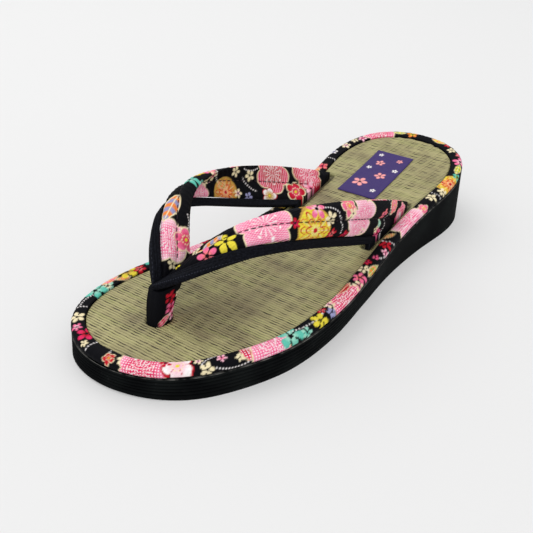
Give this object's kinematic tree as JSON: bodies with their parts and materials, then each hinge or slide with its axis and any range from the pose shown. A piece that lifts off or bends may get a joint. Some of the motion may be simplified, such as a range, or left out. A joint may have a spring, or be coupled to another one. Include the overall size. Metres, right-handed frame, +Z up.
{
  "type": "thong sandal",
  "caption": "Left flat thong sandal with a woven rush footbed, printed cloth border, padded V strap with black edge band and a ribbed black foam wedge sole.",
  "frame": {"origin": "on the floor under the middle of the sole's bounding box", "axes": "toe at -Y, heel at +Y, outer side of the foot at +X, +Z up"},
  "size_m": [0.0977, 0.2425, 0.057],
  "materials": {
    "foam_black": "matt moulded foam with fine ribs round the forefoot",
    "printed_cloth": "printed crepe cloth rolled over the footbed's edge",
    "rush": "woven rush straw, satin",
    "black_ribbed_cloth": "black ribbed cotton band",
    "post_cloth": "black and printed cloth folded round a cord",
    "navy_cloth": "navy cloth with a printed blossom pattern"
  },
  "bodies": {
    "root": {"outsole": "foam_black", "border_wrap": "printed_cloth", "rush_mat": "rush", "strap_upper": "printed_cloth", "edge_band": "black_ribbed_cloth", "toe_post": "post_cloth", "label_patch": "navy_cloth"}
  },
  "joints": []
}
